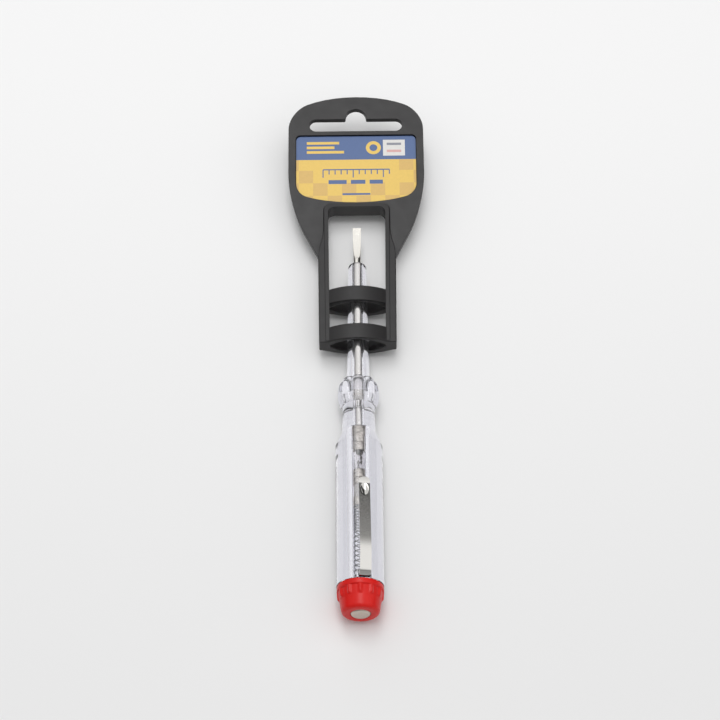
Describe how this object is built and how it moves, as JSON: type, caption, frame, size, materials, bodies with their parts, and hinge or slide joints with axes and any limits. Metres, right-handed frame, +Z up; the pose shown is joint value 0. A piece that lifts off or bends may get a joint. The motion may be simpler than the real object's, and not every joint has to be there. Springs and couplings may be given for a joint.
{
  "type": "voltage tester screwdriver",
  "caption": "Slotted mains tester screwdriver with a clear handle, glow lamp, pocket clip and screw cap, held in a moulded hanger with a Euro slot.",
  "frame": {"origin": "under the middle of the whole part, on the plane that the handle's rear ring rests on", "axes": "+Y along the tool's axis from the end cap to the blade and the hanger's head, +Z up from the resting plane through the pocket clip's side"},
  "size_m": [0.045, 0.1892, 0.0161],
  "materials": {
    "plated_steel": "bright plated, lightly worn",
    "clear_plastic": "clear polished moulding with a faint violet tint",
    "lamp_glass": "clear drawn glass",
    "electrode_metal": "dull coated wire",
    "resistor_ceramic": "matt pale grey",
    "spring_steel": "drawn wire",
    "contact_metal": "pressed, lightly scratched",
    "red_plastic": "moulded, semi gloss",
    "nickel_steel": "bright nickel plate with fine scratches",
    "black_plastic": "fine moulded grain",
    "printed_card": "printed and varnished card"
  },
  "bodies": {
    "handle": {"handle": "clear_plastic", "blade_shank": "plated_steel", "shank_sleeve": "clear_plastic", "front_contact": "plated_steel", "lamp_front_cap": "plated_steel", "lamp_glass": "lamp_glass", "lamp_electrode_front": "electrode_metal", "lamp_electrode_rear": "electrode_metal", "lamp_rear_cap": "plated_steel", "resistor_front_cap": "plated_steel", "resistor_body": "resistor_ceramic", "resistor_rear_cap": "plated_steel", "contact_spring": "spring_steel"},
    "end_contact": {"contact_rivet": "contact_metal", "rivet_washer": "plated_steel"},
    "end_cap": {"end_cap": "red_plastic"},
    "clip": {"pocket_clip": "nickel_steel"},
    "hanger": {"hanger_body": "black_plastic", "label_card": "printed_card"}
  },
  "joints": [
    {"name": "hanger_slide", "type": "slide", "parent": "handle", "child": "hanger", "axis": [0, 1, 0], "range_m": [0, 0.06]},
    {"name": "cap_advance", "type": "slide", "parent": "handle", "child": "end_contact", "axis": [0, -1, 0], "range_m": [0, 0.006], "deforming": ["contact_spring"]},
    {"name": "cap_turn", "type": "hinge", "parent": "end_contact", "child": "end_cap", "pos_m": [0, -0.09, 0.00712], "axis": [0, -1, 0], "range_deg": [0, 1728]},
    {"name": "clip_flex", "type": "hinge", "parent": "handle", "child": "clip", "pos_m": [0.00108, -0.08475, 0.01256], "axis": [0.9808, 0, -0.1951], "range_deg": [0, 5], "stiffness_Nm_per_rad": 0.7}
  ],
  "couplings": [
    {"joint": "cap_turn", "follows": "cap_advance", "rad_per_m": 5026.5}
  ]
}
